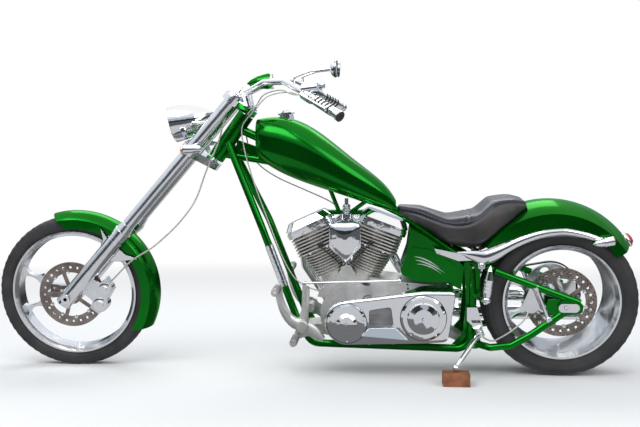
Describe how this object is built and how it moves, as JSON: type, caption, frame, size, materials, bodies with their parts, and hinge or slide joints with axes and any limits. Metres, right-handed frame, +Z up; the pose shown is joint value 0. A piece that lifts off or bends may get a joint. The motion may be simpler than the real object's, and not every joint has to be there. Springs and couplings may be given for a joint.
{
  "type": "chopper motorcycle",
  "caption": "Long raked chopper motorcycle with V-twin engine, stretched tank, low seat and wide rear tyre, leaning on its side stand on a wood block.",
  "frame": {"origin": "middle of the footprint of the overall box, on the ground", "axes": "+X forward along the machine, +Y to the rider's left, +Z up"},
  "size_m": [2.7914, 0.9324, 1.3838],
  "materials": {
    "candy_green": "gloss",
    "polished_aluminium": "polished",
    "fin_aluminium": "cast",
    "chrome": "polished",
    "seat_leather": "satin",
    "lamp_red": "clear",
    "black_rubber": "satin",
    "block_wood": "rough sawn",
    "tyre": "matte",
    "brown_steel": "heat tinted"
  },
  "bodies": {
    "chassis": {"frame": "candy_green", "engine_cases": "polished_aluminium", "front_cylinder": "fin_aluminium", "rear_cylinder": "fin_aluminium", "front_rocker_cover": "chrome", "rear_rocker_cover": "chrome", "primary_cover": "chrome", "air_cleaner": "chrome", "horn_cover": "chrome", "front_exhaust": "chrome", "rear_exhaust": "chrome", "oil_tank": "candy_green", "fuel_tank": "candy_green", "fuel_cap": "chrome", "seat": "seat_leather", "rear_fender": "candy_green", "left_fender_strut": "chrome", "right_fender_strut": "chrome", "left_turn_signal": "chrome", "right_turn_signal": "chrome", "tail_light": "lamp_red", "swingarm": "candy_green", "rear_axle": "chrome", "drive_belt": "black_rubber", "rear_caliper": "polished_aluminium", "left_foot_control": "chrome", "right_foot_control": "chrome", "shift_rod": "chrome", "left_passenger_peg": "chrome", "right_passenger_peg": "chrome", "stand_bracket": "chrome", "engine_cables": "black_rubber", "rear_brake_hose": "black_rubber", "wooden_block": "block_wood"},
    "front_end": {"fork_clamps": "chrome", "left_fork_leg": "polished_aluminium", "right_fork_leg": "polished_aluminium", "front_axle": "chrome", "handlebar": "chrome", "left_grip": "black_rubber", "right_grip": "black_rubber", "left_hand_control": "chrome", "right_hand_control": "chrome", "left_mirror": "chrome", "right_mirror": "chrome", "headlight": "chrome", "gauge": "candy_green", "front_fender": "candy_green", "front_caliper": "polished_aluminium", "bar_cables": "black_rubber", "front_brake_hose": "black_rubber"},
    "front_wheel": {"front_tyre": "tyre", "front_rim": "polished_aluminium", "front_disc": "brown_steel"},
    "rear_wheel": {"rear_tyre": "tyre", "rear_rim": "polished_aluminium", "rear_disc": "brown_steel", "rear_pulley": "polished_aluminium"},
    "side_stand": {"side_stand": "chrome"}
  },
  "joints": [
    {"name": "steering", "type": "hinge", "parent": "chassis", "child": "front_end", "pos_m": [0.33566, 0.00579, 1.02237], "axis": [-0.5929, 0.101, 0.7989], "range_deg": [-33.5, 26.5]},
    {"name": "front_wheel_spin", "type": "hinge", "parent": "front_end", "child": "front_wheel", "pos_m": [1.05608, -0.06994, 0.33788], "axis": [-0.049, 0.9857, -0.161], "continuous": true},
    {"name": "rear_wheel_spin", "type": "hinge", "parent": "chassis", "child": "rear_wheel", "pos_m": [-1.07068, -0.0822, 0.32863], "axis": [0, 0.9922, -0.125], "continuous": true},
    {"name": "side_stand_hinge", "type": "hinge", "parent": "chassis", "child": "side_stand", "pos_m": [-0.72996, 0.06696, 0.18414], "axis": [0.3731, 0.3801, 0.8463], "range_deg": [0, 95]}
  ]
}
